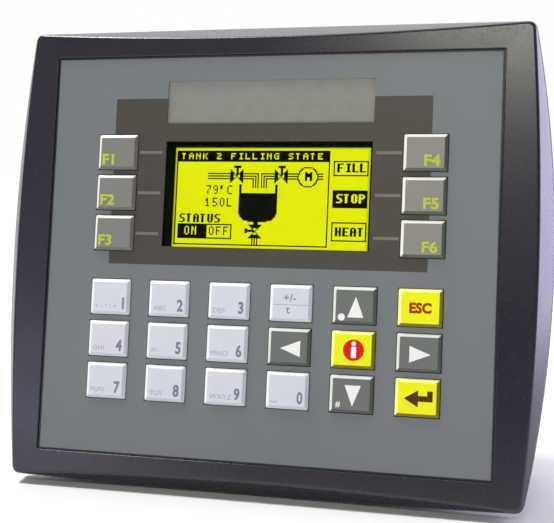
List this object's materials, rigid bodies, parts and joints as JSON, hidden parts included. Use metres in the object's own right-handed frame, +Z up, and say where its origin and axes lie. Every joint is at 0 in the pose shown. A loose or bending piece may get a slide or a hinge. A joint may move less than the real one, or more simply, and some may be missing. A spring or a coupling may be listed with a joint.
{
  "type": "operator panel",
  "caption": "Panel-mounted operator terminal: bowed dark rim, grey overlay, graphic display, sprung keys, rear housing with clamps and downward connectors.",
  "frame": {"origin": "centre of the panel cut-out, on the panel's front surface, where the gasket seats", "axes": "+X to the operator's right, +Z up, front towards -Y, rear housing towards +Y"},
  "size_m": [0.184, 0.0617, 0.155],
  "materials": {
    "bezel_plastic": "fine satin, dark slate-violet",
    "overlay_film": "fine-grained printed film, cool grey with a brown-grey display field",
    "clear_window": "clear, glossy",
    "label_card": "satin card",
    "gasket_foam": "closed-cell foam",
    "display_glass": "yellow-green display with dark picture",
    "light_guide": "milky acrylic",
    "circuit_board": "green solder resist",
    "spring_steel": "bright spring steel",
    "zinc_plate": "zinc plated",
    "brass": "nickel-free brass",
    "chip_plastic": "black moulded",
    "can_sleeve": "shrink sleeve",
    "ribbon": "flat cable",
    "housing_plastic": "spark-eroded dark grey",
    "terminal_green": "moulded green",
    "key_white": "satin white",
    "key_grey": "satin grey",
    "key_pale": "satin pale grey",
    "key_yellow": "satin yellow"
  },
  "bodies": {
    "terminal": {"front_bezel": "bezel_plastic", "front_overlay": "overlay_film", "display_window": "clear_window", "label_slide": "label_card", "panel_gasket": "gasket_foam", "display_frame": "zinc_plate", "display_glass": "display_glass", "display_backlight": "light_guide", "display_board": "circuit_board", "keypad_board": "circuit_board", "key_domes": "spring_steel", "board_screws": "zinc_plate", "board_standoffs": "brass", "main_board": "circuit_board", "board_chips": "chip_plastic", "board_capacitors": "can_sleeve", "ribbon_cables": "ribbon", "battery_holder": "chip_plastic", "backup_battery": "spring_steel", "rear_housing": "housing_plastic", "housing_screws": "zinc_plate", "clamp_brackets": "zinc_plate", "power_header": "terminal_green", "serial_jacks": "chip_plastic", "module_connector": "chip_plastic"},
    "power_plug": {"power_plug": "terminal_green", "plug_screws": "zinc_plate"},
    "module_cover": {"module_cover": "housing_plastic"},
    "key_f1": {"key_f1": "key_pale"},
    "key_f2": {"key_f2": "key_pale"},
    "key_f3": {"key_f3": "key_pale"},
    "key_f4": {"key_f4": "key_pale"},
    "key_f5": {"key_f5": "key_pale"},
    "key_f6": {"key_f6": "key_pale"},
    "key_1": {"key_1": "key_white"},
    "key_2": {"key_2": "key_white"},
    "key_3": {"key_3": "key_white"},
    "key_sign": {"key_sign": "key_white"},
    "key_up": {"key_up": "key_grey"},
    "key_esc": {"key_esc": "key_yellow"},
    "key_4": {"key_4": "key_white"},
    "key_5": {"key_5": "key_white"},
    "key_6": {"key_6": "key_white"},
    "key_left": {"key_left": "key_grey"},
    "key_info": {"key_info": "key_yellow"},
    "key_right": {"key_right": "key_grey"},
    "key_7": {"key_7": "key_white"},
    "key_8": {"key_8": "key_white"},
    "key_9": {"key_9": "key_white"},
    "key_0": {"key_0": "key_white"},
    "key_down": {"key_down": "key_grey"},
    "key_enter": {"key_enter": "key_yellow"},
    "clamp_pad_1": {"clamp_pad_1": "chip_plastic"},
    "clamp_screw_1": {"clamp_screw_1": "zinc_plate"},
    "clamp_pad_2": {"clamp_pad_2": "chip_plastic"},
    "clamp_screw_2": {"clamp_screw_2": "zinc_plate"},
    "clamp_pad_3": {"clamp_pad_3": "chip_plastic"},
    "clamp_screw_3": {"clamp_screw_3": "zinc_plate"},
    "clamp_pad_4": {"clamp_pad_4": "chip_plastic"},
    "clamp_screw_4": {"clamp_screw_4": "zinc_plate"}
  },
  "joints": [
    {"name": "key_f1_press", "type": "slide", "parent": "terminal", "child": "key_f1", "axis": [0, 1, 0], "range_m": [0, 0.0006], "stiffness_N_per_m": 800, "springref_m": -0.0005, "deforming": ["key_domes"]},
    {"name": "key_f2_press", "type": "slide", "parent": "terminal", "child": "key_f2", "axis": [0, 1, 0], "range_m": [0, 0.0006], "stiffness_N_per_m": 800, "springref_m": -0.0005, "deforming": ["key_domes"]},
    {"name": "key_f3_press", "type": "slide", "parent": "terminal", "child": "key_f3", "axis": [0, 1, 0], "range_m": [0, 0.0006], "stiffness_N_per_m": 800, "springref_m": -0.0005, "deforming": ["key_domes"]},
    {"name": "key_f4_press", "type": "slide", "parent": "terminal", "child": "key_f4", "axis": [0, 1, 0], "range_m": [0, 0.0006], "stiffness_N_per_m": 800, "springref_m": -0.0005, "deforming": ["key_domes"]},
    {"name": "key_f5_press", "type": "slide", "parent": "terminal", "child": "key_f5", "axis": [0, 1, 0], "range_m": [0, 0.0006], "stiffness_N_per_m": 800, "springref_m": -0.0005, "deforming": ["key_domes"]},
    {"name": "key_f6_press", "type": "slide", "parent": "terminal", "child": "key_f6", "axis": [0, 1, 0], "range_m": [0, 0.0006], "stiffness_N_per_m": 800, "springref_m": -0.0005, "deforming": ["key_domes"]},
    {"name": "key_1_press", "type": "slide", "parent": "terminal", "child": "key_1", "axis": [0, 1, 0], "range_m": [0, 0.0006], "stiffness_N_per_m": 800, "springref_m": -0.0005, "deforming": ["key_domes"]},
    {"name": "key_2_press", "type": "slide", "parent": "terminal", "child": "key_2", "axis": [0, 1, 0], "range_m": [0, 0.0006], "stiffness_N_per_m": 800, "springref_m": -0.0005, "deforming": ["key_domes"]},
    {"name": "key_3_press", "type": "slide", "parent": "terminal", "child": "key_3", "axis": [0, 1, 0], "range_m": [0, 0.0006], "stiffness_N_per_m": 800, "springref_m": -0.0005, "deforming": ["key_domes"]},
    {"name": "key_sign_press", "type": "slide", "parent": "terminal", "child": "key_sign", "axis": [0, 1, 0], "range_m": [0, 0.0006], "stiffness_N_per_m": 800, "springref_m": -0.0005, "deforming": ["key_domes"]},
    {"name": "key_up_press", "type": "slide", "parent": "terminal", "child": "key_up", "axis": [0, 1, 0], "range_m": [0, 0.0006], "stiffness_N_per_m": 800, "springref_m": -0.0005, "deforming": ["key_domes"]},
    {"name": "key_esc_press", "type": "slide", "parent": "terminal", "child": "key_esc", "axis": [0, 1, 0], "range_m": [0, 0.0006], "stiffness_N_per_m": 800, "springref_m": -0.0005, "deforming": ["key_domes"]},
    {"name": "key_4_press", "type": "slide", "parent": "terminal", "child": "key_4", "axis": [0, 1, 0], "range_m": [0, 0.0006], "stiffness_N_per_m": 800, "springref_m": -0.0005, "deforming": ["key_domes"]},
    {"name": "key_5_press", "type": "slide", "parent": "terminal", "child": "key_5", "axis": [0, 1, 0], "range_m": [0, 0.0006], "stiffness_N_per_m": 800, "springref_m": -0.0005, "deforming": ["key_domes"]},
    {"name": "key_6_press", "type": "slide", "parent": "terminal", "child": "key_6", "axis": [0, 1, 0], "range_m": [0, 0.0006], "stiffness_N_per_m": 800, "springref_m": -0.0005, "deforming": ["key_domes"]},
    {"name": "key_left_press", "type": "slide", "parent": "terminal", "child": "key_left", "axis": [0, 1, 0], "range_m": [0, 0.0006], "stiffness_N_per_m": 800, "springref_m": -0.0005, "deforming": ["key_domes"]},
    {"name": "key_info_press", "type": "slide", "parent": "terminal", "child": "key_info", "axis": [0, 1, 0], "range_m": [0, 0.0006], "stiffness_N_per_m": 800, "springref_m": -0.0005, "deforming": ["key_domes"]},
    {"name": "key_right_press", "type": "slide", "parent": "terminal", "child": "key_right", "axis": [0, 1, 0], "range_m": [0, 0.0006], "stiffness_N_per_m": 800, "springref_m": -0.0005, "deforming": ["key_domes"]},
    {"name": "key_7_press", "type": "slide", "parent": "terminal", "child": "key_7", "axis": [0, 1, 0], "range_m": [0, 0.0006], "stiffness_N_per_m": 800, "springref_m": -0.0005, "deforming": ["key_domes"]},
    {"name": "key_8_press", "type": "slide", "parent": "terminal", "child": "key_8", "axis": [0, 1, 0], "range_m": [0, 0.0006], "stiffness_N_per_m": 800, "springref_m": -0.0005, "deforming": ["key_domes"]},
    {"name": "key_9_press", "type": "slide", "parent": "terminal", "child": "key_9", "axis": [0, 1, 0], "range_m": [0, 0.0006], "stiffness_N_per_m": 800, "springref_m": -0.0005, "deforming": ["key_domes"]},
    {"name": "key_0_press", "type": "slide", "parent": "terminal", "child": "key_0", "axis": [0, 1, 0], "range_m": [0, 0.0006], "stiffness_N_per_m": 800, "springref_m": -0.0005, "deforming": ["key_domes"]},
    {"name": "key_down_press", "type": "slide", "parent": "terminal", "child": "key_down", "axis": [0, 1, 0], "range_m": [0, 0.0006], "stiffness_N_per_m": 800, "springref_m": -0.0005, "deforming": ["key_domes"]},
    {"name": "key_enter_press", "type": "slide", "parent": "terminal", "child": "key_enter", "axis": [0, 1, 0], "range_m": [0, 0.0006], "stiffness_N_per_m": 800, "springref_m": -0.0005, "deforming": ["key_domes"]},
    {"name": "clamp_pad_1_slide", "type": "slide", "parent": "terminal", "child": "clamp_pad_1", "axis": [0, 1, 0], "range_m": [-0.002, 0.003]},
    {"name": "clamp_screw_1_turn", "type": "hinge", "parent": "clamp_pad_1", "child": "clamp_screw_1", "pos_m": [-0.0845, 0.0195, 0.035], "axis": [0, 1, 0], "range_deg": [-1028.58, 1542.87]},
    {"name": "clamp_pad_2_slide", "type": "slide", "parent": "terminal", "child": "clamp_pad_2", "axis": [0, 1, 0], "range_m": [-0.002, 0.003]},
    {"name": "clamp_screw_2_turn", "type": "hinge", "parent": "clamp_pad_2", "child": "clamp_screw_2", "pos_m": [0.0845, 0.0195, 0.035], "axis": [0, 1, 0], "range_deg": [-1028.58, 1542.87]},
    {"name": "clamp_pad_3_slide", "type": "slide", "parent": "terminal", "child": "clamp_pad_3", "axis": [0, 1, 0], "range_m": [-0.002, 0.003]},
    {"name": "clamp_screw_3_turn", "type": "hinge", "parent": "clamp_pad_3", "child": "clamp_screw_3", "pos_m": [-0.0845, 0.0195, -0.035], "axis": [0, 1, 0], "range_deg": [-1028.58, 1542.87]},
    {"name": "clamp_pad_4_slide", "type": "slide", "parent": "terminal", "child": "clamp_pad_4", "axis": [0, 1, 0], "range_m": [-0.002, 0.003]},
    {"name": "clamp_screw_4_turn", "type": "hinge", "parent": "clamp_pad_4", "child": "clamp_screw_4", "pos_m": [0.0845, 0.0195, -0.035], "axis": [0, 1, 0], "range_deg": [-1028.58, 1542.87]},
    {"name": "power_plug_pull", "type": "slide", "parent": "terminal", "child": "power_plug", "axis": [0, 0, -1], "range_m": [0, 0.01]},
    {"name": "module_cover_pull", "type": "slide", "parent": "terminal", "child": "module_cover", "axis": [0, 0, -1], "range_m": [0, 0.008]}
  ],
  "couplings": [
    {"joint": "clamp_screw_1_turn", "follows": "clamp_pad_1_slide", "rad_per_m": 8976},
    {"joint": "clamp_screw_2_turn", "follows": "clamp_pad_2_slide", "rad_per_m": 8976},
    {"joint": "clamp_screw_3_turn", "follows": "clamp_pad_3_slide", "rad_per_m": 8976},
    {"joint": "clamp_screw_4_turn", "follows": "clamp_pad_4_slide", "rad_per_m": 8976}
  ]
}
